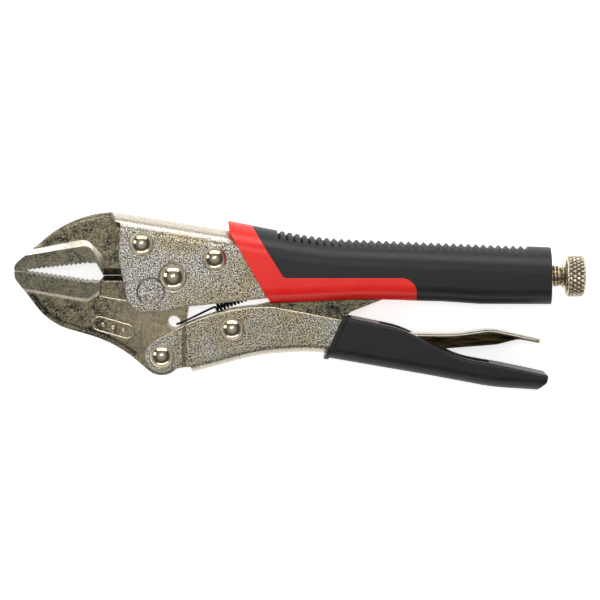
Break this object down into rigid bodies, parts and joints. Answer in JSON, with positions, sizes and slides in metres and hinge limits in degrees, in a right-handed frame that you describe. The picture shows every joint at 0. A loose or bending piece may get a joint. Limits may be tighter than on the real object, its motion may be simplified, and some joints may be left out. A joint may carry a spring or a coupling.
{
  "type": "locking pliers",
  "caption": "Curved-jaw locking pliers with a wire cutter behind the teeth, an over-centre toggle link, an adjusting screw, a release lever and rubber-sleeved handles.",
  "frame": {"origin": "centre of the bounding box's bottom face, under the tool as it lies on its side", "axes": "+X from the jaws to the adjusting screw along the length, +Y from the movable handle towards the back of the fixed handle in the plane of the jaws, +Z across the tool's thickness, up as it lies"},
  "size_m": [0.2502, 0.0776, 0.023],
  "materials": {
    "nickel_sheet": "nickel plate over tumbled pressed steel",
    "nickel_forged": "nickel plate over forged steel",
    "nickel_bright": "bright nickel plate",
    "nickel_brassy": "bright nickel plate, slightly yellow",
    "black_wire": "black oxide on spring wire",
    "black_rubber": "satin moulded",
    "red_rubber": "satin moulded"
  },
  "bodies": {
    "fixed_body": {"fixed_handle": "nickel_sheet", "fixed_jaw": "nickel_forged", "jaw_rivet_front": "nickel_bright", "jaw_rivet_rear": "nickel_bright", "jaw_pivot_rivet": "nickel_bright", "upper_grip": "black_rubber", "upper_grip_accent": "red_rubber", "opening_spring": "black_wire"},
    "jaw_body": {"lower_jaw": "nickel_forged"},
    "handle_body": {"movable_handle": "nickel_sheet", "handle_pivot_rivet": "nickel_bright", "link_pivot_rivet": "nickel_bright", "release_rivet": "nickel_bright", "lower_grip": "black_rubber"},
    "link_body": {"toggle_link": "nickel_forged"},
    "lever_body": {"release_lever": "nickel_sheet"},
    "screw_body": {"adjusting_screw": "nickel_brassy"},
    "knob_body": {"screw_knob": "nickel_brassy"}
  },
  "joints": [
    {"name": "jaw_swing", "type": "hinge", "parent": "fixed_body", "child": "jaw_body", "pos_m": [-0.05575, 0.01063, 0.0115], "axis": [0, 0, 1], "range_deg": [0, 17.7], "deforming": ["opening_spring"]},
    {"name": "handle_swing", "type": "hinge", "parent": "jaw_body", "child": "handle_body", "pos_m": [-0.06085, -0.02397, 0.0115], "axis": [0, 0, -1], "range_deg": [0, 60]},
    {"name": "link_swing", "type": "hinge", "parent": "handle_body", "child": "link_body", "pos_m": [-0.02995, -0.01197, 0.0115], "axis": [0, 0, 1], "range_deg": [0, 63.3]},
    {"name": "release_press", "type": "hinge", "parent": "handle_body", "child": "lever_body", "pos_m": [0.03225, -0.01787, 0.0115], "axis": [0, 0, -1], "range_deg": [0, 8.4]},
    {"name": "screw_advance", "type": "slide", "parent": "fixed_body", "child": "screw_body", "axis": [1, 0, 0], "range_m": [0, 0.024]},
    {"name": "screw_turn", "type": "hinge", "parent": "screw_body", "child": "knob_body", "pos_m": [0.11495, 0.01063, 0.0115], "axis": [1, 0, 0], "range_deg": [0, 5760]}
  ],
  "couplings": [
    {"joint": "jaw_swing", "follows": "handle_swing", "ratio": 0.295},
    {"joint": "link_swing", "follows": "handle_swing", "ratio": 1.055},
    {"joint": "screw_turn", "follows": "screw_advance", "rad_per_m": 4188.8}
  ]
}
